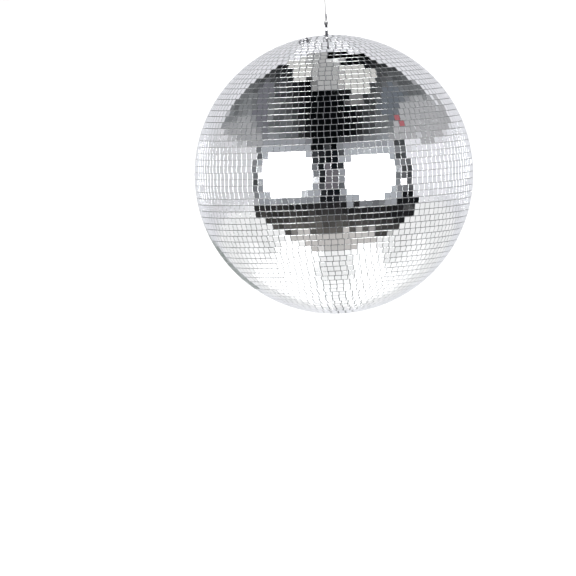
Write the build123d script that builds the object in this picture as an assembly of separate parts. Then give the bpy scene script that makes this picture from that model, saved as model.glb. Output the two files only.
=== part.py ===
from build123d import *

import math
import os

# A mirror ball, 500 mm across its mirror faces, hung by a main eye on a thin steel wire.
# Sizes are in millimetres. The shapes are drawn around the ball's centre with +Z up. save() lowers them, so
# that the saved origin is the centre of the thimble's bore, the point that the ball hangs from.
# The ball's front is its -Y side.

# The mirror ball
BALL_RADIUS = 250.0  # to the middle of a tile's outer face
TILE_SIDE = 10.75
TILE_THICKNESS = 1.5
TILE_GAP = 0.65  # between two tiles of a row, where they are closest
ROW_COUNT_PER_HALF = 34  # steps from the equator's row to the pole
SMALLEST_FILLER = 3.0  # a narrower rest of a row is shared out among its gaps
START_MERIDIAN = 263.5  # azimuth in degrees where the rows are lined up, near the front
ROW_WANDER = 0.12  # how far hand-laid rows start off that line, as a share of a tile
ROW_WANDER_PHASE = 2.3  # radians from one row's start to the next in that wander
BAND_ROWS = (6, 6, 6, 6, 6, 7, 6, 6, 6, 6, 6)  # rows in each saved band of tiles, from the top

# The layers under the tiles
TILE_GLUE = 0.15
BACKING_THICKNESS = 0.5
BACKING_GLUE = 0.1
STRIP_GAP = 0.5  # between the backing strips of two rows
SHELL_THICKNESS = 3.0
EQUATOR_RING_THICKNESS = 2.5
EQUATOR_RING_HEIGHT = 30.0
PLATE_THICKNESS = 1.5
PLATE_HALF_ANGLE = 20.0  # degrees from the pole
BONDED_GAP = 0.05  # between parts that are glued or pressed together
METAL_GAP = 0.02
CUT_MARGIN = 1.0  # how far a cut goes past the face that it goes through

# The main eye
EYE_WIRE_RADIUS = 2.5
EYE_RING_RADIUS = 10.0  # to the middle of the wire
EYE_HEIGHT = 23.5  # of the ring's top above the tiles
EYE_SHANK_RADIUS = 4.0
EYE_NECK_RADIUS = 3.0
EYE_NECK_FOOT_RADIUS = 4.4
EYE_NECK_OVERLAP = 0.5  # of the neck with the ring and the collar
EYE_COLLAR_RADIUS = 5.4
EYE_COLLAR_HEIGHT = 1.2
EYE_COLLAR_ROUNDING = 0.5
EYE_SHANK_LENGTH = 28.0
EYE_SHANK_CHAMFER = 0.8
EYE_HOLE_RADIUS = 4.5
SEAT_WASHER_RADIUS = 5.7
SEAT_WASHER_THICKNESS = 1.2
SEAT_WASHER_PLAY = 0.1  # around the shank
INNER_WASHER_RADIUS = 12.0
INNER_WASHER_THICKNESS = 1.6
INNER_WASHER_PLAY = 0.3
SPRING_WASHER_RADIUS = 7.0
SPRING_WASHER_THICKNESS = 2.0
SPRING_WASHER_SLOT = 1.5
SPRING_WASHER_SLANT = 20.0  # of its slot, in degrees
SPRING_WASHER_PLAY = 0.15
NUT_ACROSS_FLATS = 13.0
NUT_HEIGHT = 6.5
LOCKING_NUT_HEIGHT = 4.0
NUT_END_RADIUS = 0.57  # of a nut's turned ends before their chamfer, as a share of its width
NUT_END_CHAMFER = 0.05  # as a share of its width
THREAD_GAP = 0.03  # between a plain shank and a plain bore that stand for a thread

# The safety ring and the staple that holds it
SAFETY_ROW = 29  # counted from the equator's row
SAFETY_AZIMUTH = 230.0
STAPLE_WIRE_RADIUS = 1.25
STAPLE_LENGTH_INSIDE = 12.5  # of a leg, from the tiles' outer face inwards
STAPLE_HOLE_RADIUS = 1.45
RING_WIRE_RADIUS = 0.9
RING_RADIUS = 9.1  # to the middle of the wire
RING_PLAY = 0.4  # between the ring's wire and the staple
RING_LIFT = 0.25  # of the ring's wire over the seat
SEAT_PLATE_SIDE = 10.0
INNER_PLATE_LENGTH = 13.0
INNER_PLATE_WIDTH = 9.0
INNER_PLATE_THICKNESS = 1.2
PLATE_CORNER_RADIUS = 1.0
SMALL_NUT_ACROSS_FLATS = 5.0
SMALL_NUT_HEIGHT = 2.0

# The hanging wire
WIRE_RADIUS = 0.6
WIRE_PLAY = 0.15  # between the lower loop and the eye
THIMBLE_PLAY = 0.05
STRAND_SPACING = 1.25  # between the two strands inside a ferrule
FERRULE_LENGTH = 6.0
FERRULE_WALL = 0.75
FERRULE_ROUNDING = 0.3
NECK_LENGTH = 6.5  # of a loop, from its round part to the ferrule
LOOP_LEAN = 35.0  # degrees up its sides that a loop stays round
TAIL = 1.0  # of the wire's cut end, past the ferrule
TWIST_GAP = 0.02  # where the wire is parted so that it can twist
HANG_HEIGHT = 92.0  # of the thimble's centre above the tiles
THIMBLE_BORE_RADIUS = 3.0
THIMBLE_GROOVE_RADIUS = 5.0
THIMBLE_RADIUS = 6.3
THIMBLE_WIDTH = 3.4
THIMBLE_ROUNDING = 0.4

# Worked out from the dimensions above
TILE_BACK_RADIUS = BALL_RADIUS - TILE_THICKNESS
BACKING_OUTER_RADIUS = TILE_BACK_RADIUS - TILE_GLUE
BACKING_INNER_RADIUS = BACKING_OUTER_RADIUS - BACKING_THICKNESS
SHELL_RADIUS = BACKING_INNER_RADIUS - BACKING_GLUE
SHELL_INNER_RADIUS = SHELL_RADIUS - SHELL_THICKNESS
LINING_RADIUS = SHELL_INNER_RADIUS - BONDED_GAP  # of what is bonded inside the shells
PLATE_INNER_RADIUS = LINING_RADIUS - PLATE_THICKNESS
ROW_STEP = 90.0 / ROW_COUNT_PER_HALF
STRIP_HALF_ANGLE = ROW_STEP / 2 - math.degrees(STRIP_GAP / 2 / BACKING_OUTER_RADIUS)
EYE_CENTRE_Z = BALL_RADIUS + EYE_HEIGHT - EYE_RING_RADIUS - EYE_WIRE_RADIUS
EYE_TOP_Z = EYE_CENTRE_Z + EYE_RING_RADIUS  # the middle of the wire at the ring's top
STAPLE_LEG_OFFSET = RING_WIRE_RADIUS + RING_PLAY + STAPLE_WIRE_RADIUS
HANG_Z = BALL_RADIUS + HANG_HEIGHT
LOWER_LOOP_RADIUS = EYE_WIRE_RADIUS + WIRE_PLAY + WIRE_RADIUS
UPPER_LOOP_RADIUS = THIMBLE_GROOVE_RADIUS + THIMBLE_PLAY + WIRE_RADIUS
LOWER_FERRULE_Z = EYE_TOP_Z + LOWER_LOOP_RADIUS + NECK_LENGTH
UPPER_FERRULE_Z = HANG_Z - UPPER_LOOP_RADIUS - NECK_LENGTH - FERRULE_LENGTH
TWIST_Z = LOWER_FERRULE_Z + FERRULE_LENGTH + 2 * TAIL


def save(name, *pieces):
    """Writes one node: a single solid, or a group of separate ones."""
    lowered = [piece.moved(Location((0, 0, -HANG_Z))) for piece in pieces]
    node = lowered[0] if len(lowered) == 1 else Compound(label=name, children=lowered)
    export_step(node, f"parts/{name}.step")


def sphere_frame(latitude, azimuth, radius):
    """A plane touching a sphere: x runs east along the row, y to the north pole and z outwards."""
    lat = math.radians(latitude)
    az = math.radians(azimuth)
    outward = Vector(math.cos(lat) * math.cos(az), math.cos(lat) * math.sin(az), math.sin(lat))
    east = Vector(-math.sin(az), math.cos(az), 0)
    return Plane(origin=outward * radius, x_dir=east, z_dir=outward)


def spherical_band(inner, outer, polar_from, polar_to):
    """The solid between two spheres and two angles from the north pole, in degrees."""

    def at(radius, polar):
        return (radius * math.sin(math.radians(polar)), 0, radius * math.cos(math.radians(polar)))

    middle = (polar_from + polar_to) / 2
    outline = [
        ThreePointArc(at(outer, polar_from), at(outer, middle), at(outer, polar_to)),
        Line(at(outer, polar_to), at(inner, polar_to)),
        ThreePointArc(at(inner, polar_to), at(inner, middle), at(inner, polar_from)),
        Line(at(inner, polar_from), at(outer, polar_from)),
    ]
    return revolve(make_face(outline), Axis.Z).solid()


def disc(radius, low, high):
    """A disc or rod on the Z axis between two heights."""
    return Pos(0, 0, low) * Cylinder(radius, high - low, align=(Align.CENTER, Align.CENTER, Align.MIN))


def washer(radius, hole_radius, low, high):
    return (disc(radius, low, high) - disc(hole_radius, low - CUT_MARGIN, high + CUT_MARGIN)).solid()


def hexagon_nut(across_flats, bore_radius, low, high):
    """A nut on the Z axis, with both ends turned down at the corners."""
    outline = RegularPolygon(across_flats / 2, 6, major_radius=False)
    prism = Pos(0, 0, low) * extrude(outline, high - low)
    turned = disc(across_flats * NUT_END_RADIUS, low, high)
    turned = chamfer(turned.edges().filter_by(GeomType.CIRCLE), across_flats * NUT_END_CHAMFER)
    return ((prism & turned) - disc(bore_radius, low - CUT_MARGIN, high + CUT_MARGIN)).solid()


# The rows of mirror tiles


def row_latitude(row):
    return row * ROW_STEP


def row_pitch(row):
    """(the angle between two tiles of a row, their poleward inner corners' distance from the ball's axis).

    The angle leaves TILE_GAP between those corners, where the tiles are closest.
    """
    lat = math.radians(abs(row_latitude(row)))
    closest = TILE_BACK_RADIUS * math.cos(lat) - TILE_SIDE / 2 * math.sin(lat)
    return math.degrees(2 * math.atan((TILE_SIDE + TILE_GAP) / 2 / closest)), closest


def lay_row(row):
    """(the azimuths of a row's whole tiles, its filler tile's azimuth or None, the filler's width)."""
    pitch, closest = row_pitch(row)
    count = int(360 / pitch)
    rest = 360 - count * pitch
    filler_width = 2 * closest * math.tan(math.radians(rest / 2)) - TILE_GAP
    if filler_width < SMALLEST_FILLER:
        pitch = 360 / count
        filler_width = 0
    start = START_MERIDIAN + ROW_WANDER * pitch * math.sin(ROW_WANDER_PHASE * row)
    left = count // 2
    right = count - left
    azimuths = [start + (k + 0.5) * pitch for k in range(-left, right)]
    filler = start + 180 + (right - left) * pitch / 2 if filler_width else None
    return azimuths, filler, filler_width


def nearest(azimuths, wanted):
    return min(azimuths, key=lambda a: abs((a - wanted + 180) % 360 - 180))


def flat_tile(width, height):
    """A tile whose outer face lies on z = 0."""
    return Box(width, height, TILE_THICKNESS, align=(Align.CENTER, Align.CENTER, Align.MAX)).solid()


def tiles_of(row, tile):
    """A row's whole tiles, without the one that makes room for the safety staple."""
    azimuths = lay_row(row)[0]
    if row == SAFETY_ROW:
        azimuths.remove(nearest(azimuths, SAFETY_AZIMUTH))
    frames = [sphere_frame(row_latitude(row), azimuth, BALL_RADIUS) for azimuth in azimuths]
    return [tile.moved(frame.location) for frame in frames]


def filler_tiles(rows):
    fillers = []
    for row in rows:
        azimuth, width = lay_row(row)[1:]
        if azimuth is not None:
            frame = sphere_frame(row_latitude(row), azimuth, BALL_RADIUS)
            fillers.append(flat_tile(width, TILE_SIDE).moved(frame.location))
    return fillers


def backing_strip(row):
    polar = 90 - row_latitude(row)
    low, high = polar - STRIP_HALF_ANGLE, polar + STRIP_HALF_ANGLE
    return spherical_band(BACKING_INNER_RADIUS, BACKING_OUTER_RADIUS, low, high)


# The safety staple stands in the place of one tile, its two legs in line with the pole.

SAFETY_FRAME = sphere_frame(
    row_latitude(SAFETY_ROW),
    nearest(lay_row(SAFETY_ROW)[0], SAFETY_AZIMUTH),
    BALL_RADIUS,
)


def staple_legs(radius, low, high):
    """Two rods on the staple's legs, between two heights over the tiles."""
    rod = disc(radius, low, high)
    legs = [Pos(0, side * STAPLE_LEG_OFFSET, 0) * rod for side in (-1, 1)]
    return SAFETY_FRAME.location * (legs[0] + legs[1])


def safety_staple():
    crown = Vector(0, 0, ring_height() + RING_PLAY + RING_WIRE_RADIUS + STAPLE_WIRE_RADIUS)
    shoulder = crown.Z - STAPLE_LEG_OFFSET
    path = [
        Line((0, -STAPLE_LEG_OFFSET, -STAPLE_LENGTH_INSIDE), (0, -STAPLE_LEG_OFFSET, shoulder)),
        ThreePointArc((0, -STAPLE_LEG_OFFSET, shoulder), crown, (0, STAPLE_LEG_OFFSET, shoulder)),
        Line((0, STAPLE_LEG_OFFSET, shoulder), (0, STAPLE_LEG_OFFSET, -STAPLE_LENGTH_INSIDE)),
    ]
    return (SAFETY_FRAME.location * sweep_wire(path, STAPLE_WIRE_RADIUS)).solid()


def ring_height():
    """Height of the ring's wire over the tiles, where it passes through the staple."""
    return RING_LIFT + RING_WIRE_RADIUS


def safety_ring():
    """The ring lies on the tiles, away from the pole. They fall away from it, so it needs no tilt."""
    ring = Pos(0, -RING_RADIUS, ring_height()) * Torus(RING_RADIUS, RING_WIRE_RADIUS)
    return (SAFETY_FRAME.location * ring).solid()


def safety_plate(length, width, low, high):
    """A plate with two holes for the staple's legs, between two heights over the tiles."""
    plate = Pos(0, 0, (low + high) / 2) * Box(width, length, high - low)
    plate = fillet(plate.edges().filter_by(Axis.Z), PLATE_CORNER_RADIUS)
    holes = staple_legs(STAPLE_HOLE_RADIUS, low - CUT_MARGIN, high + CUT_MARGIN)
    return ((SAFETY_FRAME.location * plate) - holes).solid()


def safety_nuts(high):
    """One nut on each leg, turned a twelfth so that their flats face each other."""
    bore = STAPLE_WIRE_RADIUS + THREAD_GAP
    nut = hexagon_nut(SMALL_NUT_ACROSS_FLATS, bore, high - SMALL_NUT_HEIGHT, high).rotate(Axis.Z, 360 / 12)
    offsets = [Location((0, side * STAPLE_LEG_OFFSET, 0)) for side in (-1, 1)]
    return [nut.moved(SAFETY_FRAME.location * offset) for offset in offsets]


# The main eye and what clamps it


def main_eye_bolt(seat_z):
    ring = Pos(0, 0, EYE_CENTRE_Z) * Rot(0, 90, 0) * Torus(EYE_RING_RADIUS, EYE_WIRE_RADIUS)
    collar_top = seat_z + EYE_COLLAR_HEIGHT
    neck_top = EYE_CENTRE_Z - EYE_RING_RADIUS
    shank = disc(EYE_SHANK_RADIUS, seat_z - EYE_SHANK_LENGTH, seat_z)
    shank = chamfer(shank.edges().sort_by(Axis.Z)[0], EYE_SHANK_CHAMFER)
    collar = disc(EYE_COLLAR_RADIUS, seat_z, collar_top)
    collar = fillet(collar.edges().sort_by(Axis.Z)[-1], EYE_COLLAR_ROUNDING)
    neck_height = neck_top - collar_top + EYE_NECK_OVERLAP
    neck = Pos(0, 0, neck_top - neck_height / 2) * Cone(EYE_NECK_FOOT_RADIUS, EYE_NECK_RADIUS, neck_height)
    return (ring + neck + collar + shank).solid()


def spring_washer(low, high):
    """A washer that is cut through at a slant on its +X side."""
    ring = washer(SPRING_WASHER_RADIUS, EYE_SHANK_RADIUS + SPRING_WASHER_PLAY, low, high)
    slot = Box(SPRING_WASHER_RADIUS, SPRING_WASHER_SLOT, 3 * (high - low))
    middle = Pos(SPRING_WASHER_RADIUS, 0, (low + high) / 2)
    return (ring - middle * Rot(SPRING_WASHER_SLANT, 0, 0) * slot).solid()


# The hanging wire


def sweep_wire(path, radius):
    """A round wire swept along joined edges, from the start of the first."""
    joined = Wire(path)
    start = Plane(origin=joined @ 0, z_dir=joined % 0)
    return sweep(start * Circle(radius), joined)


def loop_path(centre_z, radius, ferrule_z, side):
    """The edges of a drop-shaped loop in the YZ plane, from its standing strand to its tail strand.

    side is 1 for a loop that opens upwards to its ferrule and -1 for one that opens downwards. The standing
    strand is on the Z axis and the tail strand is beside it.
    """
    lean = math.radians(LOOP_LEAN)
    reach = radius * math.cos(lean)
    rise = side * radius * math.sin(lean)
    start = Vector(0, 0, ferrule_z)
    end = Vector(0, -STRAND_SPACING, ferrule_z)
    right = Vector(0, reach, centre_z + rise)
    left = Vector(0, -reach, centre_z + rise)
    far = Vector(0, 0, centre_z - side * radius)
    down = Vector(0, 0, -side)
    right_tangent = Vector(0, math.sin(lean), -side * math.cos(lean))
    left_tangent = Vector(0, math.sin(lean), side * math.cos(lean))
    return [
        Spline(start, right, tangents=(down, right_tangent)),
        ThreePointArc(right, far, left),
        Spline(left, end, tangents=(left_tangent, -down)),
    ]


def ferrule(low):
    """A pressed sleeve around the two strands."""
    outside = SlotCenterToCenter(STRAND_SPACING, 2 * (WIRE_RADIUS + FERRULE_WALL), rotation=90)
    inside = SlotCenterToCenter(STRAND_SPACING, 2 * (WIRE_RADIUS + METAL_GAP), rotation=90)
    sleeve = extrude(outside, FERRULE_LENGTH)
    ends = sleeve.faces().filter_by(Axis.Z)
    sleeve = fillet([edge for end in ends for edge in end.edges()], FERRULE_ROUNDING)
    sleeve -= extrude(inside, FERRULE_LENGTH)
    return (Pos(0, -STRAND_SPACING / 2, low) * sleeve).solid()


def lower_end_of_wire():
    """The loop round the eye's top. It lies across the eye, so it is turned a quarter about Z."""
    top = LOWER_FERRULE_Z + FERRULE_LENGTH
    standing = Line((0, 0, TWIST_Z - TWIST_GAP), (0, 0, LOWER_FERRULE_Z))
    tail = Line((0, -STRAND_SPACING, LOWER_FERRULE_Z), (0, -STRAND_SPACING, top + TAIL))
    path = [standing] + loop_path(EYE_TOP_Z, LOWER_LOOP_RADIUS, LOWER_FERRULE_Z, 1) + [tail]
    return sweep_wire(path, WIRE_RADIUS).rotate(Axis.Z, 90).solid()


def upper_part_of_wire():
    loop_z = UPPER_FERRULE_Z + FERRULE_LENGTH
    standing = Line((0, 0, TWIST_Z), (0, 0, loop_z))
    tail = Line((0, -STRAND_SPACING, loop_z), (0, -STRAND_SPACING, UPPER_FERRULE_Z - TAIL))
    path = [standing] + loop_path(HANG_Z, UPPER_LOOP_RADIUS, loop_z, -1) + [tail]
    return sweep_wire(path, WIRE_RADIUS).solid()


def top_thimble():
    """A grooved wheel on the X axis, with the bore that the ball hangs from."""
    side = THIMBLE_WIDTH / 2
    groove = WIRE_RADIUS + THIMBLE_PLAY
    shoulder = THIMBLE_RADIUS - THIMBLE_ROUNDING
    corner = THIMBLE_ROUNDING * math.sqrt(0.5)
    outline = [
        Polyline(
            (-groove, 0, UPPER_LOOP_RADIUS),
            (-groove, 0, THIMBLE_RADIUS),
            (-side + THIMBLE_ROUNDING, 0, THIMBLE_RADIUS),
        ),
        ThreePointArc(
            (-side + THIMBLE_ROUNDING, 0, THIMBLE_RADIUS),
            (-side + THIMBLE_ROUNDING - corner, 0, shoulder + corner),
            (-side, 0, shoulder),
        ),
        Polyline(
            (-side, 0, shoulder),
            (-side, 0, THIMBLE_BORE_RADIUS),
            (side, 0, THIMBLE_BORE_RADIUS),
            (side, 0, shoulder),
        ),
        ThreePointArc(
            (side, 0, shoulder),
            (side - THIMBLE_ROUNDING + corner, 0, shoulder + corner),
            (side - THIMBLE_ROUNDING, 0, THIMBLE_RADIUS),
        ),
        Polyline(
            (side - THIMBLE_ROUNDING, 0, THIMBLE_RADIUS),
            (groove, 0, THIMBLE_RADIUS),
            (groove, 0, UPPER_LOOP_RADIUS),
        ),
        ThreePointArc(
            (groove, 0, UPPER_LOOP_RADIUS),
            (0, 0, UPPER_LOOP_RADIUS - groove),
            (-groove, 0, UPPER_LOOP_RADIUS),
        ),
    ]
    return (Pos(0, 0, HANG_Z) * revolve(make_face(outline), Axis.X)).solid()


def build_core():
    upper = spherical_band(SHELL_INNER_RADIUS, SHELL_RADIUS, 0, 90)
    holes = staple_legs(STAPLE_HOLE_RADIUS, -STAPLE_LENGTH_INSIDE, 0)
    eye_hole = disc(EYE_HOLE_RADIUS, PLATE_INNER_RADIUS - CUT_MARGIN, BALL_RADIUS)
    save("upper_shell", (upper - eye_hole - holes).solid())
    save("lower_shell", spherical_band(SHELL_INNER_RADIUS, SHELL_RADIUS, 90, 180))
    half_angle = math.degrees(math.asin(EQUATOR_RING_HEIGHT / 2 / LINING_RADIUS))
    ring_inner_radius = LINING_RADIUS - EQUATOR_RING_THICKNESS
    ring = spherical_band(ring_inner_radius, LINING_RADIUS, 90 - half_angle, 90 + half_angle)
    save("equator_joining_ring", ring)
    plate = spherical_band(PLATE_INNER_RADIUS, LINING_RADIUS, 0, PLATE_HALF_ANGLE)
    save("top_reinforcing_plate", (plate - eye_hole - holes).solid())


def build_tiles():
    tile = flat_tile(TILE_SIDE, TILE_SIDE)
    rows = list(range(ROW_COUNT_PER_HALF - 1, -ROW_COUNT_PER_HALF, -1))
    first = 0
    for band, count in enumerate(BAND_ROWS, start=1):
        laid = [piece for row in rows[first : first + count] for piece in tiles_of(row, tile)]
        save(f"mirror_tiles_band_{band:02d}", *laid)
        first += count
    save("seam_filler_tiles", *filler_tiles(rows))
    bottom = sphere_frame(-90, lay_row(rows[-1])[0][0], BALL_RADIUS)
    save("bottom_centre_tile", tile.moved(bottom.location))


def build_backing():
    rows = range(1, ROW_COUNT_PER_HALF)
    holes = staple_legs(STAPLE_HOLE_RADIUS, -STAPLE_LENGTH_INSIDE, 0)
    north = [backing_strip(row) for row in rows]
    north[SAFETY_ROW - 1] = (north[SAFETY_ROW - 1] - holes).solid()
    patch_angle = 180 - ROW_STEP / 2 + math.degrees(STRIP_GAP / 2 / BACKING_OUTER_RADIUS)
    patch = spherical_band(BACKING_INNER_RADIUS, BACKING_OUTER_RADIUS, patch_angle, 180)
    save("backing_strips_upper", *north)
    save("backing_strips_lower", backing_strip(0), *[backing_strip(-row) for row in rows], patch)


def build_main_eye():
    seat_z = SHELL_RADIUS + METAL_GAP + SEAT_WASHER_THICKNESS + METAL_GAP
    save("main_eye_bolt", main_eye_bolt(seat_z))
    hole = EYE_SHANK_RADIUS + SEAT_WASHER_PLAY
    seat_washer = washer(SEAT_WASHER_RADIUS, hole, SHELL_RADIUS + METAL_GAP, seat_z - METAL_GAP)
    save("eye_seat_washer", seat_washer)
    # The plate is hollow from below, so the flat washer meets it at its rim.
    top = math.sqrt(PLATE_INNER_RADIUS**2 - INNER_WASHER_RADIUS**2) - METAL_GAP
    bottom = top - INNER_WASHER_THICKNESS
    hole = EYE_SHANK_RADIUS + INNER_WASHER_PLAY
    save("eye_inner_washer", washer(INNER_WASHER_RADIUS, hole, bottom, top))
    top = bottom - METAL_GAP
    bottom = top - SPRING_WASHER_THICKNESS
    save("eye_spring_washer", spring_washer(bottom, top))
    top = bottom - METAL_GAP
    bottom = top - NUT_HEIGHT
    bore = EYE_SHANK_RADIUS + THREAD_GAP
    save("eye_nut", hexagon_nut(NUT_ACROSS_FLATS, bore, bottom, top))
    top = bottom - METAL_GAP
    bottom = top - LOCKING_NUT_HEIGHT
    save("eye_locking_nut", hexagon_nut(NUT_ACROSS_FLATS, bore, bottom, top))


def build_safety_eye():
    save("safety_staple", safety_staple())
    save("safety_ring", safety_ring())
    # The seat plate stands in the tile's place, clear of the curved backing at its middle.
    seat_plate = safety_plate(SEAT_PLATE_SIDE, SEAT_PLATE_SIDE, TILE_BACK_RADIUS - BALL_RADIUS, 0)
    save("safety_seat_plate", seat_plate)
    rim = math.sqrt(PLATE_INNER_RADIUS**2 - (INNER_PLATE_LENGTH**2 + INNER_PLATE_WIDTH**2) / 4)
    top = rim - BALL_RADIUS - METAL_GAP
    bottom = top - INNER_PLATE_THICKNESS
    save("safety_inner_plate", safety_plate(INNER_PLATE_LENGTH, INNER_PLATE_WIDTH, bottom, top))
    save("safety_nuts", *safety_nuts(bottom - METAL_GAP))


def build_wire():
    save("wire_lower_end", lower_end_of_wire())
    save("lower_ferrule", ferrule(LOWER_FERRULE_Z).rotate(Axis.Z, 90))
    save("hanging_wire", upper_part_of_wire())
    save("upper_ferrule", ferrule(UPPER_FERRULE_Z))
    save("top_thimble", top_thimble())


os.makedirs("parts", exist_ok=True)
build_core()
build_tiles()
build_backing()
build_main_eye()
build_safety_eye()
build_wire()
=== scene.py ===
import math
import random

import bmesh
import bpy
from mathutils import Matrix, Vector, geometry


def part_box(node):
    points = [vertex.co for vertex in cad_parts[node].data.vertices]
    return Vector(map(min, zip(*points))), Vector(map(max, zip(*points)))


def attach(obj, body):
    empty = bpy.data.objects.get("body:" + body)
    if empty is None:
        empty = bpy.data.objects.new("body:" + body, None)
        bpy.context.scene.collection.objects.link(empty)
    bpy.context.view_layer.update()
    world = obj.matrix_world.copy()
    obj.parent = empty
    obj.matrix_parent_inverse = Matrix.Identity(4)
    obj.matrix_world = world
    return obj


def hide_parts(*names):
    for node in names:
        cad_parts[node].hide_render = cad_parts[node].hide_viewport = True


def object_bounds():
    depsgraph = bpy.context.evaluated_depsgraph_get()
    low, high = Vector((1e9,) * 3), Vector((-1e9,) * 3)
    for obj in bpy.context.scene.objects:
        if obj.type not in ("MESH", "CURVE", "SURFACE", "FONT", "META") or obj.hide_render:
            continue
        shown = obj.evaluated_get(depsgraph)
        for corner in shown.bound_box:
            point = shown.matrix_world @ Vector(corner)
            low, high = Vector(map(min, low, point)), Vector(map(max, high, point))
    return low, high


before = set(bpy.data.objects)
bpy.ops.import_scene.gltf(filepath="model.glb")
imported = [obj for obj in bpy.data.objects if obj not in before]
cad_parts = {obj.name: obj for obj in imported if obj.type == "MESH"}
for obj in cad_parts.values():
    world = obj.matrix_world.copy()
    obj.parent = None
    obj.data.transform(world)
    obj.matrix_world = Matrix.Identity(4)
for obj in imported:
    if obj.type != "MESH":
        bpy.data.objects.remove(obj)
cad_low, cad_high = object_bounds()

# A hanging mirror ball. The frame's origin is the centre of the thimble's bore, +Z is up, and the ball's
# front is its -Y side. Lengths are in metres.

MM = 0.001

BALL_CENTRE = Vector((0, 0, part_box("upper_shell")[0].z))  # the upper shell ends at the ball's equator

# The camera, far away with a long lens
CAMERA_LENS = 400 * MM
CAMERA_SENSOR = 36 * MM
VIEW_WIDTH = 1.033
CAMERA_ELEVATION = math.radians(3)
CAMERA_ROLL = math.radians(3)
AIM_RIGHT_OF_BALL = -0.0823
AIM_ABOVE_BALL = -0.2039

FLOOR_DEPTH = 0.6  # below the ball
FLOOR_SIZE = 2000.0
LAMP_LIGHT = 12.0
LIT_FLOOR = 1.6
HALF_LIT_FLOOR = 1.2
SOFT_LIGHT = 1.8

# Tiles
LEVEL_ARRIS_WIDTH = 0.33 * MM  # of the ground rounding along a tile's upper and lower front edges
UPRIGHT_ARRIS_WIDTH = 0.18 * MM
ARRIS_TURN = math.radians(16)  # how far its normals stay from those of the faces beside it
SAME_POINT = 0.001 * MM  # corners closer than this are one
TILE_SEED = 11
TILT_SPREAD = math.radians(0.4)  # how unevenly the tiles sit, as a standard deviation
LOOSE_TILT_SPREAD = math.radians(1.3)
LOOSE_SHARE = 0.04  # of the tiles sit less evenly than the others
TURN_SPREAD = math.radians(0.35)
SHIFT_SPREAD = 0.03 * MM
MIRROR, CUT_EDGE, PAINTED_HIGHLIGHT_LEVEL_ARRIS, UPRIGHT_ARRIS = range(4)  # a tile mesh's materials; the level arris one is painted brighter than the upright one, a painted highlight

# The wire and its loops
STRANDS = 6  # round one core strand
STRAND_FULLNESS = 0.95  # of a strand, as a share of the room it has
STRAND_SIDES = 8
WIRE_LAY = 8 * MM  # length of one turn of the strands
WIRE_STEP = 0.4 * MM
LOOP_LEAN = math.radians(35)  # up its sides that a loop stays round
LOOP_POINTS = 48  # along the round part
BEND_POINTS = 24
WIRE_TAIL = 1 * MM  # past the ferrule
FERRULE_SIDES = 48
FERRULE_STEP = 0.1 * MM
FERRULE_ROUNDING = 0.3 * MM
CRIMPS = 3
CRIMP_DEPTH = 0.16 * MM

# The eye bolt
EYE_WIRE_RADIUS = 2.5 * MM
EYE_NECK_RADIUS = 3.0 * MM
EYE_NECK_FOOT_RADIUS = 4.4 * MM
EYE_COLLAR_HEIGHT = 1.2 * MM
EYE_SHANK_RADIUS = 4.0 * MM
EYE_SHANK_CHAMFER = 0.8 * MM
THREAD_PITCH = 1.25 * MM
THREAD_DEPTH = 0.7 * MM
THREAD_START = 6 * MM  # below the collar
THREAD_SIDES = 32
THREAD_STEPS = 8  # in one turn
RING_POINTS = 96  # round the ring
RING_WIRE_SIDES = 32
NECK_SIDES = 64
FORGING_GRAIN = 0.28 * MM  # size of the cells that the ring, neck and collar grow together in
FORGING_WEAR = 0.5  # how far each round of smoothing moves a point towards its neighbours
FORGING_WEAR_ROUNDS = 6

SHARP_EDGE = math.radians(40)

# The sockets of a colour mixing node
MIX_SHARE, MIX_FIRST, MIX_SECOND = 0, 6, 7
MIX_RESULT = 2


# Node trees


def node(tree, kind, inputs=None, **settings):
    """Adds a node. inputs maps a socket's name or number to a value or to the socket that feeds it."""
    made = tree.nodes.new(kind)
    for key, value in settings.items():
        setattr(made, key, value)
    for key, value in (inputs or {}).items():
        if isinstance(value, bpy.types.NodeSocket):
            tree.links.new(value, made.inputs[key])
        else:
            made.inputs[key].default_value = value
    return made


def maths(tree, operation, first, second=0.0):
    return node(tree, "ShaderNodeMath", {0: first, 1: second}, operation=operation).outputs[0]


def ramp(tree, value, start, end):
    """0 before start and 1 after end, with a smooth step between them."""
    inputs = {"Value": value, "From Min": start, "From Max": end}
    return node(tree, "ShaderNodeMapRange", inputs, interpolation_type="SMOOTHSTEP").outputs[0]


def mix(tree, share, first, second):
    """The first colour where share is 0 and the second where it is 1."""
    inputs = {MIX_SHARE: share, MIX_FIRST: first, MIX_SECOND: second}
    return node(tree, "ShaderNodeMix", inputs, data_type="RGBA").outputs[MIX_RESULT]


def even(level):
    """A colour without a tint."""
    return (level, level, level, 1.0)


def shown(tone, red=1.0, green=1.0, blue=1.0):
    """The linear colour that the sRGB curve shows as a grey tone between 0 and 1, with a tint."""
    level = ((tone + 0.055) / 1.055) ** 2.4
    return (level * red, level * green, level * blue, 1.0)


# The studio, seen in the mirrors. Directions point from the ball: x to the right, y to the back, z up.


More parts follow.
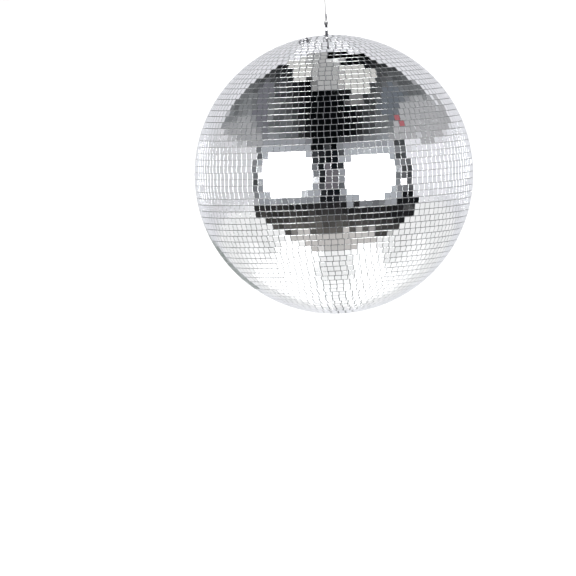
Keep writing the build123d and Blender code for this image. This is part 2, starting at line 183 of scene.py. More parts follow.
class Studio:
    """Paints the world one patch over another, each bounded by soft-edged limits on its direction."""

    def __init__(self, world):
        world.use_nodes = True
        self.tree = world.node_tree
        self.tree.nodes.clear()
        coordinates = node(self.tree, "ShaderNodeTexCoord")
        towards = {0: coordinates.outputs["Generated"]}
        self.way = node(self.tree, "ShaderNodeVectorMath", towards, operation="NORMALIZE").outputs[0]
        split = node(self.tree, "ShaderNodeSeparateXYZ", {0: self.way})
        self.x, self.y, self.z = split.outputs
        towards_front = maths(self.tree, "MULTIPLY", self.y, -1.0)
        self.azimuth = self.degrees(maths(self.tree, "ARCTAN2", self.x, towards_front))
        self.elevation = self.degrees(maths(self.tree, "ARCSINE", self.z))
        self.side = maths(self.tree, "ABSOLUTE", self.x)
        # On a level plane over or under the ball, as shares of its height
        height = maths(self.tree, "ABSOLUTE", self.z)
        self.sideways = maths(self.tree, "DIVIDE", self.x, height)
        self.along = maths(self.tree, "DIVIDE", self.y, height)
        self.ahead = maths(self.tree, "MULTIPLY", self.along, -1.0)
        self.colour = None

    def degrees(self, socket):
        return maths(self.tree, "MULTIPLY", socket, math.degrees(1))

    def within(self, value, low, high, soft):
        """1 between two limits, fading to 0 over a distance of soft around each. A limit may be None."""
        share = None
        if low is not None:
            share = ramp(self.tree, value, low - soft / 2, low + soft / 2)
        if high is not None:
            below = ramp(self.tree, value, high + soft / 2, high - soft / 2)
            share = below if share is None else maths(self.tree, "MULTIPLY", share, below)
        return share

    def paint(self, colour, *limits):
        """Covers the directions where every limit holds."""
        share = None
        for limit in limits:
            inside = self.within(*limit)
            share = inside if share is None else maths(self.tree, "MULTIPLY", share, inside)
        if self.colour is None:
            self.colour = colour
        else:
            self.colour = mix(self.tree, share, self.colour, colour)

    def leaning(self, value, other, slope):
        """A value whose limits lean as another value grows."""
        return maths(self.tree, "ADD", value, maths(self.tree, "MULTIPLY", other, slope))

    def corners(self, left, right, low, high, cut):
        """A limit that cuts the corners off a lamp."""
        across = self.distance(self.azimuth, (left + right) / 2)
        up = self.distance(self.elevation, (low + high) / 2)
        reach = (right - left) / 2 + (high - low) / 2
        return (maths(self.tree, "ADD", across, up), None, reach - cut, 3)

    def distance(self, value, middle):
        return maths(self.tree, "ABSOLUTE", maths(self.tree, "SUBTRACT", value, middle))

    def mottled(self, colour, scale, strength, patch=shown(0.06, 0.8, 1.0, 1.2)):
        """The colour with patches of another one."""
        inputs = {"Vector": self.way, "Scale": scale}
        noise = node(self.tree, "ShaderNodeTexNoise", inputs).outputs["Fac"]
        share = maths(self.tree, "MULTIPLY", ramp(self.tree, noise, 0.45, 0.6), strength)
        return mix(self.tree, share, colour, patch)

    def fade(self, value, start, end, first, second):
        """A colour that turns from the first to the second as value goes from start to end."""
        return mix(self.tree, ramp(self.tree, value, start, end), first, second)

    def finish(self, camera_light, soft_light):
        """Mirrors see the studio, the camera sees one plain colour, and matt surfaces get even light."""
        rays = node(self.tree, "ShaderNodeLightPath").outputs
        matt = mix(self.tree, rays["Is Diffuse Ray"], self.colour, soft_light)
        seen = mix(self.tree, rays["Is Camera Ray"], matt, camera_light)
        light = node(self.tree, "ShaderNodeBackground", {"Color": seen})
        node(self.tree, "ShaderNodeOutputWorld", {"Surface": light.outputs[0]})


def paint_studio():
    world = bpy.data.worlds.new("studio")
    bpy.context.scene.world = world
    s = Studio(world)
    paint_room(s)
    paint_ceiling(s)
    paint_lamps(s)
    paint_near_floor(s)
    s.finish(camera_light=even(1.0), soft_light=even(SOFT_LIGHT))


def paint_room(s):
    """White walls and floor, with the stretches of the floor that the lamps light."""
    # Walls, floor, and a slightly darker far wall that sets the ball's rim off from the background
    s.paint(shown(0.91, 0.985, 0.985, 1.03))
    s.paint(shown(0.965), (s.elevation, None, -18, 8))
    s.paint(shown(0.93, 0.975, 0.985, 1.03), (s.y, 0.84, None, 0.2), (s.elevation, -50, 10, 20))
    # The duller left wall
    s.paint(shown(0.84, 0.985, 0.985, 1.02), (s.x, None, -0.7, 0.3), (s.elevation, -15, 25, 10))
    # Something dark and greenish on the floor, at the back left, between two lines through the far point
    upper_line = s.leaning(s.z, s.x, -0.62), None, 0, 0.06
    lower_line = s.leaning(s.z, s.x, -1.6), 0, None, 0.06
    s.paint(shown(0.6, 0.94, 1.03, 1.0), (s.y, 0.88, None, 0.04), upper_line, lower_line)
    # The lit floor behind the ball, and one brighter stretch under each lamp
    behind = (s.y, 0.1, None, 0.3), (s.y, None, 0.7, 0.2)
    s.paint(even(HALF_LIT_FLOOR), *behind, (s.elevation, None, -38, 15))
    for left, right in ((-0.85, -0.25), (0.17, 0.5)):
        stretch = (s.sideways, left, right, 0.12), (s.y, None, 0.66, 0.2)
        s.paint(even(LIT_FLOOR), *stretch, (s.elevation, None, -30, 12))


def paint_ceiling(s):
    """The dark ceiling, lighter to the sides, with pale panels over the middle."""
    high = (s.elevation, 22, None, 3)
    front_part = (s.y, None, 0.53, 0.03)
    tone = s.fade(s.side, 0.25, 0.85, shown(0.02, 0.7, 1.0, 1.25), shown(0.54, 0.96, 1.0, 1.04))
    s.paint(s.mottled(tone, 7, 0.4), high, front_part)
    # Its left side: a paler end and a narrow violet streak
    s.paint(shown(0.65, 0.98, 0.99, 1.02), (s.x, None, -0.8, 0.1), high, front_part)
    streak = (s.leaning(s.sideways, s.along, -1.1), -1.26, -0.78, 0.12), (s.x, -0.8, -0.5, 0.05)
    s.paint(shown(0.45, 0.98, 0.98, 1.12), *streak, high, front_part)
    # Its right side: a bluish patch, and a grey end that reaches down and back
    s.paint(shown(0.44, 0.9, 1.0, 1.15), (s.x, 0.56, 0.72, 0.04), (s.y, -0.36, 0.2, 0.1), high)
    end = (s.x, 0.73, None, 0.04), (s.elevation, 22, None, 2)
    s.paint(shown(0.69, 0.99, 0.99, 1.02), *end, front_part)
    tip = (s.azimuth, 86, 142, 2), (s.elevation, 15, 24, 2), (s.y, None, 0.7, 0.04)
    s.paint(shown(0.7, 0.99, 0.99, 1.02), *tip)
    paint_panels(s)


def paint_panels(s):
    """The panels straight over the ball, as rectangles on the level ceiling."""
    overhead = (s.z, 0.5, None, 0.01)
    pale = shown(0.8, 1.01, 1.0, 0.97)
    panels = (
        (shown(0.69), (-0.17, 0.13), (-0.27, 0.68)),
        (pale, (0.13, 0.5), (-0.27, 0.3)),
        (pale, (-0.37, -0.17), (0.04, 0.6)),
        (shown(0.5, 1.0, 0.98, 0.98), (0.27, 0.4), (-0.56, -0.27)),
    )
    for colour, across, along in panels:
        s.paint(colour, (s.sideways, *across, 0.01), (s.along, *along, 0.01), overhead)
    # A black opening with slanting ends, and a bright strip before it
    slant = s.leaning(s.along, s.sideways, -0.5)
    s.paint(shown(0.03), (s.sideways, 0.03, 0.34, 0.01), (slant, 0.38, 0.6, 0.01), overhead)
    s.paint(shown(0.98), (s.sideways, 0.02, 0.1, 0.01), (slant, 0.27, 0.36, 0.01), overhead)


def paint_lamps(s):
    """Two soft lights with fading rims in the dark front of the studio, and the camera between them."""
    front = s.fade(s.side, 0.0, 0.95, shown(0.08, 0.7, 1.0, 1.35), shown(0.5, 0.97, 1.0, 1.06))
    s.paint(s.mottled(front, 9, 0.7), (s.azimuth, -72, 67, 1), (s.elevation, -22, 23, 2))
    slanting_side = s.leaning(s.azimuth, s.elevation, 0.12)
    # Azimuths of the left and right ends, what the inner side is measured by, elevations of the lower and
    # upper ends, and how much the corners lose
    lamps = ((-63, -17, slanting_side, -13, 19, 9), (8, 53, s.azimuth, -18.5, 16.5, 12))
    # Tone of a rim, and how far it reaches sideways, up and down past the lamp
    rims = ((0.6, 2, 12, 7, 8), (0.7, 1, 5, 1, 5))
    for left, right, inner, low, high, cut in lamps:
        for tone, aside, above, below, soft in rims:
            across = (s.azimuth, left - aside, None, 3), (inner, None, right + aside, 3)
            upright = (s.elevation, low - below, high + above, soft)
            s.paint(shown(tone, 0.95, 0.99, 1.07), *across, upright)
        across = (s.azimuth, left, None, 2), (inner, None, right, 2)
        corners = s.corners(left, right, low, high, cut)
        s.paint(even(LAMP_LIGHT), *across, (s.elevation, low, high, 2), corners)
    # The camera, and a small red thing high on the right
    s.paint(shown(0.41, 1.03, 0.96, 1.08), (s.azimuth, -8, 5, 1), (s.elevation, -10, 8, 1))
    s.paint(shown(0.6, 1.3, 0.45, 0.5), (s.azimuth, 69, 76, 1), (s.elevation, 30, 40, 1))


def paint_near_floor(s):
    """The dark floor in front of the white one, and its lit beige edge."""
    far_edge = s.leaning(s.ahead, s.x, 0.1)
    near_edge = s.leaning(s.elevation, s.azimuth, 0.044)
    lower = s.leaning(s.elevation, s.azimuth, 0.12)
    tone = s.fade(lower, -45, -24, shown(0.38, 1.05, 1.0, 0.94), shown(0.15, 1.0, 1.0, 1.08))
    front = (s.azimuth, -76, 78, 1), (near_edge, None, -21.4, 1)
    s.paint(s.mottled(tone, 9, 0.5), *front, (far_edge, 0.59, None, 0.03))
    # A dark corner on the right, beside the lamp
    s.paint(shown(0.1, 0.9, 1.0, 1.15), (s.azimuth, 56, 76, 1), (s.elevation, -24, -14, 1))
    edge = (far_edge, 0.53, 0.95, 0.04), (s.x, -0.5, 0.45, 0.04)
    s.paint(shown(0.76, 1.04, 1.0, 0.97), *edge, (s.z, None, -0.5, 0.05))


# Materials


class Finish:
    """A material's node tree with one Principled shader."""

    def __init__(self, name, **inputs):
        self.material = bpy.data.materials.new(name)
        self.material.use_nodes = True
        self.tree = self.material.node_tree
        self.tree.nodes.clear()
        self.shader = node(self.tree, "ShaderNodeBsdfPrincipled")
        for key, value in inputs.items():
            self.shader.inputs[key.replace("_", " ")].default_value = value
        self.output = node(self.tree, "ShaderNodeOutputMaterial", {"Surface": self.shader.outputs[0]})
        self.place = node(self.tree, "ShaderNodeTexCoord").outputs["Object"]

    def feed(self, name, socket):
        self.tree.links.new(socket, self.shader.inputs[name])

    def noise(self, scale, detail=2.0, place=None):
        inputs = {"Vector": place or self.place, "Scale": scale, "Detail": detail}
        return node(self.tree, "ShaderNodeTexNoise", inputs).outputs["Fac"]

    def between(self, socket, start, end, low, high):
        inputs = {"Value": socket, "From Min": start, "From Max": end, "To Min": low, "To Max": high}
        return node(self.tree, "ShaderNodeMapRange", inputs).outputs[0]

    def blend(self, socket, first, second):
        return mix(self.tree, socket, first, second)

    def bump(self, height, distance, strength=1.0):
        inputs = {"Height": height, "Distance": distance, "Strength": strength}
        self.feed("Normal", node(self.tree, "ShaderNodeBump", inputs).outputs[0])


def mirror_finish():
    """Silvered flat glass. Each tile differs a little in tint, and its surface is very slightly wavy."""
    f = Finish("mirror_glass", Metallic=1.0, Roughness=0.02)
    per_tile = node(f.tree, "ShaderNodeNewGeometry").outputs["Random Per Island"]
    tint = f.blend(per_tile, (0.90, 0.915, 0.92, 1), (0.965, 0.965, 0.975, 1))
    dust = f.between(f.noise(300, 4), 0.55, 0.75, 0.0, 0.06)
    f.feed("Base Color", f.blend(dust, tint, (0.8, 0.8, 0.8, 1)))
    f.feed("Roughness", f.between(f.noise(120, 3), 0.3, 0.8, 0.012, 0.06))
    f.bump(f.noise(90, 1), 0.02 * MM, 0.3)
    return f.material


def edge_finish(name, light, dark, metallic, smooth, rough):
    """The cut glass around a tile, with the chips and streaks that the cutter leaves."""
    f = Finish(name, Metallic=metallic)
    streaks = f.noise(900, 5)
    f.feed("Base Color", f.blend(f.between(streaks, 0.35, 0.7, 0.0, 1.0), light, dark))
    f.feed("Roughness", f.between(f.noise(400, 2), 0.3, 0.7, smooth, rough))
    f.bump(streaks, 0.05 * MM, 0.4)
    return f.material


def cloth_finish():
    """The grey woven backing that shows in the joints."""
    f = Finish("backing_cloth", Roughness=0.85)
    inputs = {"Vector": f.place, "Scale": 900, "Distortion": 1.5}
    along = node(f.tree, "ShaderNodeTexWave", inputs, bands_direction="Z").outputs["Fac"]
    across = node(f.tree, "ShaderNodeTexWave", inputs, bands_direction="X").outputs["Fac"]
    weave = maths(f.tree, "MULTIPLY", along, across)
    f.feed("Base Color", f.blend(weave, (0.2, 0.2, 0.22, 1), (0.3, 0.3, 0.32, 1)))
    f.bump(weave, 0.1 * MM, 0.6)
    return f.material


def plastic_finish():
    """White moulded plastic with a fine grain."""
    f = Finish("core_plastic", Roughness=0.5)
    f.feed("Base Color", f.blend(f.noise(40, 3), (0.78, 0.78, 0.80, 1), (0.88, 0.88, 0.89, 1)))
    f.bump(f.noise(1500, 3), 0.03 * MM, 0.5)
    return f.material


def metal_finish(name, light, dark, smooth, rough, grain):
    """Metal whose tone and roughness vary over patches of size 1 / grain."""
    f = Finish(name, Metallic=1.0)
    patches = f.noise(grain, 4)
    f.feed("Base Color", f.blend(f.between(patches, 0.35, 0.7, 0.0, 1.0), light, dark))
    f.feed("Roughness", f.between(f.noise(grain * 3, 3), 0.3, 0.7, smooth, rough))
    f.bump(f.noise(grain * 8, 2), 0.01 * MM, 0.3)
    return f.material


def make_finishes():
    """Every finish by name.

    Edges and metals have a light and a dark colour, then how metallic an edge is, the lowest and highest
    roughness, and the fineness of a metal's patches.
    """
    edges = {
        "cut_edge": ((0.58, 0.61, 0.62, 1), (0.38, 0.41, 0.42, 1), 0.85, 0.2, 0.4),
        # The level arris is painted brighter than the upright one: a painted highlight for the lamps'
        # reflections along the level joints
        "level_arris_painted_highlight": ((0.97, 0.97, 0.97, 1), (0.85, 0.87, 0.87, 1), 1.0, 0.1, 0.2),
        "upright_arris": ((0.82, 0.83, 0.84, 1), (0.66, 0.68, 0.69, 1), 1.0, 0.1, 0.2),
    }
    metals = {
        "bright_chrome": ((0.5, 0.5, 0.52, 1), (0.38, 0.385, 0.4, 1), 0.04, 0.14, 150),
        "zinc_steel": ((0.72, 0.73, 0.74, 1), (0.5, 0.52, 0.53, 1), 0.25, 0.5, 200),
        "wire_steel": ((0.1, 0.1, 0.105, 1), (0.05, 0.05, 0.055, 1), 0.25, 0.4, 500),
        "ferrule_metal": ((0.24, 0.24, 0.25, 1), (0.16, 0.16, 0.17, 1), 0.25, 0.45, 400),
    }
    made = {"mirror_glass": mirror_finish()}
    made.update({name: edge_finish(name, *look) for name, look in edges.items()})
    made.update({"backing_cloth": cloth_finish(), "core_plastic": plastic_finish()})
    made.update({name: metal_finish(name, *look) for name, look in metals.items()})
    return made


# Mirror tiles


def tile_corners(node_object):
    """The eight corners of each tile of a node, from the tile's own piece of the node's mesh."""
    mesh = bmesh.new()
    mesh.from_mesh(node_object.data)
    bmesh.ops.remove_doubles(mesh, verts=mesh.verts, dist=SAME_POINT)
    waiting = set(mesh.verts)
    found = []
    for start in mesh.verts:
        if start not in waiting:
            continue
        waiting.discard(start)
        piece, front = [], [start]
        while front:
            vertex = front.pop()
            piece.append(vertex.co.copy())
            for edge in vertex.link_edges:
                other = edge.other_vert(vertex)
                if other in waiting:
                    waiting.discard(other)
                    front.append(other)
        found.append(piece)
    mesh.free()
    return found


class Tile:
    """One tile's middle, its three directions and its size."""

    def __init__(self, corners):
        middle = sum(corners, Vector()) / len(corners)
        self.out = (middle - BALL_CENTRE).normalized()
        heights = [(c - BALL_CENTRE).dot(self.out) for c in corners]
        self.thickness = max(heights) - min(heights)
        outer = [c for c, h in zip(corners, heights) if h > max(heights) - self.thickness / 2]
        first = outer[0]
        others = sorted(outer[1:], key=lambda c: (c - first).length)
        sides = sorted((c - first for c in others[:2]), key=lambda s: abs(s.normalized().z))
        self.width, self.height = sides[0].length, sides[1].length
        self.across = sides[0].normalized()
        self.up = self.out.cross(self.across)
        if self.up.z < 0:
            self.across, self.up = -self.across, -self.up
        self.middle = middle
        flat = middle - BALL_CENTRE
        self.order = (round(flat.z, 5), round(math.atan2(flat.y, flat.x), 5))


def tile_points(tile, chance):
    """A tile's 12 points (back, top of the sides, face) and the directions of its face and sides."""
    spread = LOOSE_TILT_SPREAD if chance.random() < LOOSE_SHARE else TILT_SPREAD
    lean = Matrix.Rotation(chance.gauss(0, spread), 3, tile.across)
    sway = Matrix.Rotation(chance.gauss(0, spread), 3, tile.up)
    turn = Matrix.Rotation(chance.gauss(0, TURN_SPREAD), 3, tile.out)
    turned = lean @ sway @ turn
    middle = tile.middle + tile.across * chance.gauss(0, SHIFT_SPREAD)
    middle += tile.up * chance.gauss(0, SHIFT_SPREAD)
    levels = (
        (-tile.thickness / 2, 0, 0),
        (tile.thickness / 2 - LEVEL_ARRIS_WIDTH, 0, 0),
        (tile.thickness / 2, UPRIGHT_ARRIS_WIDTH, LEVEL_ARRIS_WIDTH),
    )
    points = []
    for height, side_inset, end_inset in levels:
        half_width = tile.width / 2 - side_inset
        half_height = tile.height / 2 - end_inset
        for right, up in ((-1, -1), (1, -1), (1, 1), (-1, 1)):
            reach = tile.across * (right * half_width) + tile.up * (up * half_height)
            points.append(middle + turned @ (reach + tile.out * height))
    down, right = turned @ -tile.up, turned @ tile.across
    return points, turned @ tile.out, (down, right, -down, -right)


def tile_mesh(name, tiles, chance):
    """One mesh of separate closed tiles, each with a rounded rim around its mirror face."""
    points, faces, kinds, normals = [], [], [], []
    for tile in sorted(tiles, key=lambda t: t.order):
        base = len(points)
        corners, out, sides = tile_points(tile, chance)
        points += corners
        faces.append([base + 3, base + 2, base + 1, base])
        kinds.append(CUT_EDGE)
        normals += [-out] * 4
        for k, side in enumerate(sides):
            after = (k + 1) % 4
            faces.append([base + k, base + after, base + 4 + after, base + 4 + k])
            kinds.append(CUT_EDGE)
            normals += [side] * 4
            faces.append([base + 4 + k, base + 4 + after, base + 8 + after, base + 8 + k])
            # Level rims take the brighter arris colour, a painted highlight; upright rims the dimmer one
            kinds.append(UPRIGHT_ARRIS if k % 2 else PAINTED_HIGHLIGHT_LEVEL_ARRIS)
            outer = side * math.cos(ARRIS_TURN) + out * math.sin(ARRIS_TURN)
            inner = side * math.sin(ARRIS_TURN) + out * math.cos(ARRIS_TURN)
            normals += [outer, outer, inner, inner]
        faces.append([base + 8 + k for k in range(4)])
        kinds.append(MIRROR)
        normals += [out] * 4
    mesh = bpy.data.meshes.new(name)
    mesh.from_pydata(points, [], faces)
    mesh.polygons.foreach_set("material_index", kinds)
    mesh.normals_split_custom_set(normals)
    mesh.update()
    return mesh


def add_piece(name, mesh, body, stands_for, finishes):
    made = bpy.data.objects.new(name, mesh)
    bpy.context.scene.collection.objects.link(made)
    for finish in finishes:
        mesh.materials.append(finish)
    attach(made, body)
    if stands_for:
        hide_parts(*stands_for)
    return made


def build_tiles(finishes):
    chance = random.Random(TILE_SEED)
    used = [finishes[kind] for kind in ("mirror_glass", "cut_edge", "level_arris_painted_highlight", "upright_arris")]
    names = [n for n in sorted(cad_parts) if "tile" in n]
    for name in names:
        tiles = [Tile(corners) for corners in tile_corners(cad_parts[name])]
        mesh = tile_mesh(name + "_cut", tiles, chance)
        add_piece(f"{name}_cut_glass", mesh, "ball", [name], used)


# Wires, ferrules and the eye


def loft(rings, joined=False):
    """The points and faces of a closed shell through rings of points, all of one length.

    The ends are capped, unless the last ring is joined to the first.
    """
    size = len(rings[0])
    points = [point for ring in rings for point in ring]
    faces = []
    for k in range(len(rings) if joined else len(rings) - 1):
        lower, upper = k * size, (k + 1) % len(rings) * size
        for j in range(size):
            after = (j + 1) % size
            faces.append([lower + j, lower + after, upper + after, upper + j])
    if not joined:
        faces.append(list(range(size - 1, -1, -1)))
        faces.append(list(range(len(points) - size, len(points))))
    return points, faces


def smooth_mesh(name, shells):
    """One mesh of several shells, shaded smooth apart from its sharp edges."""
    points, faces = [], []
    for shell_points, shell_faces in shells:
        base = len(points)
        points += shell_points
        faces += [[base + k for k in face] for face in shell_faces]
    mesh = bpy.data.meshes.new(name)
    mesh.from_pydata(points, [], faces)
    mesh.shade_smooth()
    mesh.set_sharp_from_angle(angle=SHARP_EDGE)
    return mesh


def evenly(points, step):
    """Points that stand an equal distance apart along a path."""
    reached = [0.0]
    for start, end in zip(points, points[1:]):
        reached.append(reached[-1] + (end - start).length)
    count = round(reached[-1] / step)
    made = []
    k = 0
    for number in range(count + 1):
        wanted = reached[-1] * number / count
        while k < len(points) - 2 and reached[k + 1] < wanted:
            k += 1
        share = (wanted - reached[k]) / (reached[k + 1] - reached[k])
        made.append(points[k].lerp(points[k + 1], share))
    return made


def bend(start, start_way, end, end_way):
    """A smooth curve between two points that are left and reached in given directions."""
    reach = (end - start).length / 3
    handles = start + start_way * reach, end - end_way * reach
    return geometry.interpolate_bezier(start, *handles, end, BEND_POINTS)


def looped_path(wire, ferrule, across, up):
    """The middle line of a wire with a loop, from its free end round the loop to its tail.

    across is the direction from the tail strand to the standing one. up is 1 for a loop at the wire's top
    and -1 for one at its foot.
    """
    low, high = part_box(wire)
    sleeve_low, sleeve_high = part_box(ferrule)
    wire_radius = min(high.x, high.y)
    radius = max(high.x, high.y) - wire_radius
    sleeve = sleeve_high - sleeve_low
    spacing = abs(sleeve.x - sleeve.y)
    free, far = (low.z, high.z) if up > 0 else (high.z, low.z)
    tail, mouth = (sleeve_low.z, sleeve_high.z) if up > 0 else (sleeve_high.z, sleeve_low.z)
    centre = far - up * (radius + wire_radius)
    rise = Vector((0, 0, up))

    def at(sideways, height):
        return across * sideways + Vector((0, 0, height))

    def round_part(share):
        angle = up * (share * (math.pi + 2 * LOOP_LEAN) - LOOP_LEAN)
        return at(radius * math.cos(angle), centre + radius * math.sin(angle))

    leaving = across * math.sin(LOOP_LEAN) + rise * math.cos(LOOP_LEAN)
    returning = across * math.sin(LOOP_LEAN) - rise * math.cos(LOOP_LEAN)
    path = [at(0, free)]
    path += bend(at(0, mouth), rise, round_part(0), leaving)
    path += [round_part(k / LOOP_POINTS) for k in range(1, LOOP_POINTS)]
    path += bend(round_part(1), returning, at(-spacing, mouth), -rise)
    path.append(at(-spacing, tail - up * WIRE_TAIL))
    return evenly(path, WIRE_STEP), wire_radius


def strand(path, normal, wire_radius, start_angle, offset):
    """One strand that winds round the wire's middle line at a distance of offset."""
    radius = wire_radius / 3 * STRAND_FULLNESS
    middles = []
    for k, point in enumerate(path):
        way = (path[min(k + 1, len(path) - 1)] - path[max(k - 1, 0)]).normalized()
        angle = start_angle + 2 * math.pi * k * WIRE_STEP / WIRE_LAY
        out = normal * math.cos(angle) + way.cross(normal) * math.sin(angle)
        middles.append(point + out * offset)
    rings = []
    for k, middle in enumerate(middles):
        way = (middles[min(k + 1, len(path) - 1)] - middles[max(k - 1, 0)]).normalized()
        first = (normal - way * normal.dot(way)).normalized()
        second = way.cross(first)
        angles = [2 * math.pi * j / STRAND_SIDES for j in range(STRAND_SIDES)]
        rings.append([middle + (first * math.cos(a) + second * math.sin(a)) * radius for a in angles])
    return loft(rings)


def build_wire(name, ferrule, across, up, body, finish):
    """A wire of strands wound round a core strand."""
    path, wire_radius = looped_path(name, ferrule, across, up)
    normal = across.cross(Vector((0, 0, 1)))
    shells = [strand(path, normal, wire_radius, 0, 0)]
    for k in range(STRANDS):
        shells.append(strand(path, normal, wire_radius, 2 * math.pi * k / STRANDS, wire_radius * 2 / 3))
    mesh = smooth_mesh(name + "_strands", shells)
    add_piece(f"{name}_strands", mesh, body, [name], [finish])


def build_ferrule(name, wire, body, finish):
    """A sleeve pressed round two strands, with a dent from each bite of the pliers."""
    low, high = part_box(name)
    size = high - low
    radius = min(size.x, size.y) / 2
    half_spacing = abs(size.x - size.y) / 2
    long_way = Vector((1, 0, 0)) if size.x > size.y else Vector((0, 1, 0))
    short_way = Vector((0, 0, 1)).cross(long_way)
    middle = (low + high) / 2
    wire_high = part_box(wire)[1]
    bore_radius = min(wire_high.x, wire_high.y)

    def ring(height, ring_radius, dent):
        points = []
        for k in range(FERRULE_SIDES):
            angle = 2 * math.pi * k / FERRULE_SIDES
            shift = math.copysign(half_spacing, math.cos(angle + 1e-6))
            along = shift + ring_radius * math.cos(angle)
            beside = (ring_radius - dent * abs(math.sin(angle))) * math.sin(angle)
            flat = Vector((middle.x, middle.y, height))
            points.append(flat + long_way * along + short_way * beside)
        return points

    rings = []
    count = round(size.z / FERRULE_STEP)
    for k in range(count + 1):
        height = size.z * k / count
        from_end = min(height, size.z - height)
        missing = max(0.0, FERRULE_ROUNDING - from_end)
        inset = FERRULE_ROUNDING - math.sqrt(FERRULE_ROUNDING**2 - missing**2)
        bite = max(0.0, math.cos(2 * math.pi * (CRIMPS * height / size.z - 0.5))) ** 2
        rings.append(ring(low.z + height, radius - inset, CRIMP_DEPTH * bite))
    rings.append(ring(high.z, bore_radius, 0))
    rings.append(ring(low.z, bore_radius, 0))
    mesh = smooth_mesh(name + "_crimped", [loft(rings, joined=True)])
    add_piece(f"{name}_crimped", mesh, body, [name], [finish])


def turned_ring(radius, height):
    angles = [2 * math.pi * k / NECK_SIDES for k in range(NECK_SIDES)]
    return [Vector((radius * math.cos(a), radius * math.sin(a), height)) for a in angles]


def threaded_shank(low, high):
    """A rod on the Z axis with a rolled thread up to a plain neck."""
    rings = []
    count = round((high - low) / THREAD_PITCH * THREAD_STEPS)
    for k in range(count + 1):
        height = low + (high - low) * k / count
        fade = min(1.0, max(0.0, (high - THREAD_START - height) / THREAD_PITCH))
        chamfer = max(0.0, EYE_SHANK_CHAMFER - (height - low))
        ring = []
        for j in range(THREAD_SIDES):
            turn = j / THREAD_SIDES - (height - low) / THREAD_PITCH
            groove = THREAD_DEPTH * fade * abs(2 * (turn % 1) - 1)
            radius = EYE_SHANK_RADIUS - max(groove, chamfer)
            angle = 2 * math.pi * j / THREAD_SIDES
            ring.append(Vector((radius * math.cos(angle), radius * math.sin(angle), height)))
        rings.append(ring)
    return loft(rings)


def forged_eye(seat, top):
    """The ring, its neck and its collar, grown together as one casting with soft inner corners."""
    low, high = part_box("main_eye_bolt")
    ring_radius = high.y - EYE_WIRE_RADIUS
    centre = top - high.y
    ring = []
    for k in range(RING_POINTS):
        angle = 2 * math.pi * k / RING_POINTS
        out = Vector((0, math.cos(angle), math.sin(angle)))
        section = []
        for j in range(RING_WIRE_SIDES):
            turn = 2 * math.pi * j / RING_WIRE_SIDES
            outwards = out * (ring_radius + EYE_WIRE_RADIUS * math.cos(turn))
            section.append(outwards + Vector((EYE_WIRE_RADIUS * math.sin(turn), 0, centre)))
        ring.append(section)
    collar_top = seat + EYE_COLLAR_HEIGHT
    neck = [
        turned_ring(EYE_NECK_FOOT_RADIUS, seat + EYE_COLLAR_HEIGHT / 2),
        turned_ring(EYE_NECK_FOOT_RADIUS, collar_top),
        turned_ring(EYE_NECK_RADIUS, centre - ring_radius),
    ]
    collar = [turned_ring(high.x, seat), turned_ring(high.x, collar_top)]
    rough = smooth_mesh("eye_rough", [loft(ring, joined=True), loft(neck), loft(collar)])
    piece = bpy.data.objects.new("eye_rough", rough)
    bpy.context.scene.collection.objects.link(piece)
    grown = piece.modifiers.new("grown", "REMESH")
    grown.mode = "VOXEL"
    grown.voxel_size = FORGING_GRAIN
    worn = piece.modifiers.new("worn", "SMOOTH")
    worn.factor = FORGING_WEAR
    worn.iterations = FORGING_WEAR_ROUNDS
    shape = piece.evaluated_get(bpy.context.evaluated_depsgraph_get()).to_mesh()
    points = [vertex.co.copy() for vertex in shape.vertices]
    faces = [list(face.vertices) for face in shape.polygons]
    bpy.data.objects.remove(piece)
    return points, faces


def build_eye(finish):
    low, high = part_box("main_eye_bolt")
    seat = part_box("eye_seat_washer")[1].z
    shells = [forged_eye(seat, high.z), threaded_shank(low.z, seat + EYE_COLLAR_HEIGHT / 2)]
    mesh = smooth_mesh("main_eye_bolt_forged", shells)
    add_piece("main_eye_bolt_forged", mesh, "ball", ["main_eye_bolt"], [finish])


def build_hanging(finishes):
    sideways, forwards = Vector((-1, 0, 0)), Vector((0, 1, 0))
    steel, sleeve = finishes["wire_steel"], finishes["ferrule_metal"]
    build_wire("hanging_wire", "upper_ferrule", forwards, 1, "wire", steel)
    build_wire("wire_lower_end", "lower_ferrule", sideways, -1, "wire_end", steel)
    build_ferrule("upper_ferrule", "hanging_wire", "wire", sleeve)
    build_ferrule("lower_ferrule", "wire_lower_end", "wire_end", sleeve)
    build_eye(finishes["bright_chrome"])


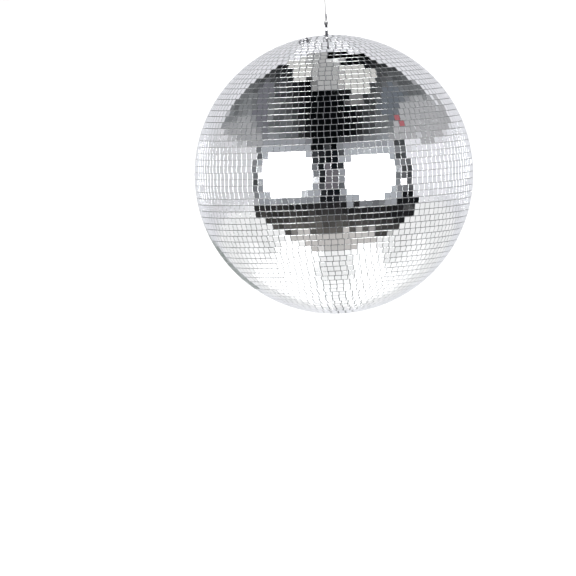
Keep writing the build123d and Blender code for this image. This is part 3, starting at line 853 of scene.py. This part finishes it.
def finish_cad_nodes(finishes):
    """Gives every node that is still shown its finish."""
    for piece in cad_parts.values():
        if piece.hide_render:
            continue
        slot = piece.data.materials[0].name.split(".")[0]
        piece.data.materials[0] = finishes[slot]


# Stage


def add_floor():
    """A plain pale floor, see-through from below. The mirrors show the painted studio instead of it."""
    mesh = bpy.data.meshes.new("floor")
    half = FLOOR_SIZE / 2
    level = cad_low.z - FLOOR_DEPTH
    corners = [(-half, -half, level), (half, -half, level), (half, half, level), (-half, half, level)]
    mesh.from_pydata(corners, [], [(0, 1, 2, 3)])
    floor = bpy.data.objects.new("floor", mesh)
    bpy.context.scene.collection.objects.link(floor)
    f = Finish("pale_floor", Roughness=0.9)
    f.feed("Base Color", f.blend(f.noise(3, 2), (0.66, 0.66, 0.66, 1), (0.68, 0.68, 0.68, 1)))
    behind = node(f.tree, "ShaderNodeNewGeometry").outputs["Backfacing"]
    clear = node(f.tree, "ShaderNodeBsdfTransparent").outputs[0]
    both = node(f.tree, "ShaderNodeMixShader", {0: behind, 1: f.shader.outputs[0], 2: clear})
    f.tree.links.new(both.outputs[0], f.output.inputs["Surface"])
    mesh.materials.append(f.material)
    floor.visible_glossy = False


def add_camera():
    data = bpy.data.cameras.new("camera")
    data.sensor_width = CAMERA_SENSOR / MM
    data.lens = CAMERA_LENS / MM
    distance = VIEW_WIDTH * CAMERA_LENS / CAMERA_SENSOR
    data.clip_start = distance / 100
    data.clip_end = distance * 20
    camera = bpy.data.objects.new("camera", data)
    bpy.context.scene.collection.objects.link(camera)
    pitch = Matrix.Rotation(math.pi / 2 - CAMERA_ELEVATION, 4, "X")
    turn = pitch @ Matrix.Rotation(-CAMERA_ROLL, 4, "Z")
    aim = BALL_CENTRE + turn @ Vector((AIM_RIGHT_OF_BALL, AIM_ABOVE_BALL, 0))
    camera.matrix_world = Matrix.Translation(aim + turn @ Vector((0, 0, distance))) @ turn
    bpy.context.scene.camera = camera


bpy.context.scene.view_settings.view_transform = "Standard"
finishes = make_finishes()
build_tiles(finishes)
build_hanging(finishes)
finish_cad_nodes(finishes)
paint_studio()
add_floor()
add_camera()
